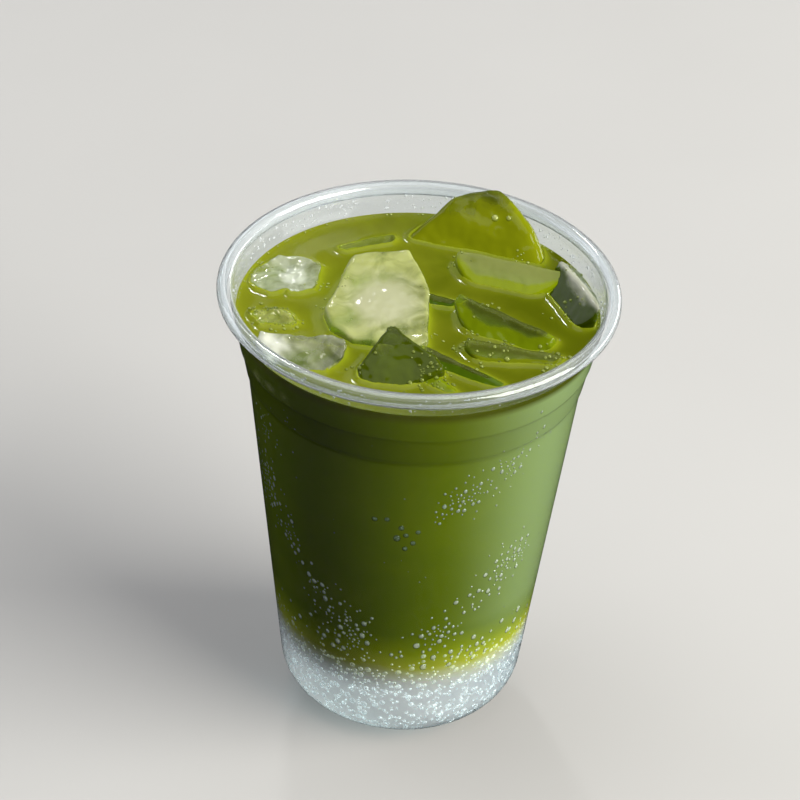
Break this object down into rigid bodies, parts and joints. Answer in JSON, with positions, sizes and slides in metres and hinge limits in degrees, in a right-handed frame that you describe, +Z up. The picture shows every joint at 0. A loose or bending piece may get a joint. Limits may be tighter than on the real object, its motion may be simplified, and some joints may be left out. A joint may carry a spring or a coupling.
{
  "type": "iced matcha tonic in a clear cup",
  "caption": "Iced drink in a clear plastic cup with a rolled rim: green matcha over pale sparkling tonic, with half-moon ice standing out of the surface.",
  "frame": {"origin": "centre of the circle that the cup stands on, on the standing surface", "axes": "+Z up along the cup's axis; -Y towards the side shown to the viewer; +X to that viewer's right"},
  "size_m": [0.098, 0.098, 0.1234],
  "materials": {
    "cup": "clear, glossy, thin PET plastic",
    "matcha": "opaque green liquid, glossy surface",
    "tonic": "pale cloudy liquid full of fine bubbles",
    "ice": "clear to milky ice, wet, tinted by the drink"
  },
  "bodies": {
    "root": {"cup": "cup", "ice_back_blade": "ice", "ice_back_half_moon": "ice", "ice_back_tall": "ice", "ice_front_crescent": "ice", "ice_front_dark": "ice", "ice_front_left": "ice", "ice_front_peak": "ice", "ice_left": "ice", "ice_left_low": "ice", "ice_middle_half_moon": "ice", "ice_middle_shard": "ice", "ice_right": "ice", "ice_right_blade": "ice", "ice_slab": "ice", "matcha": "matcha", "tonic": "tonic"}
  },
  "joints": []
}
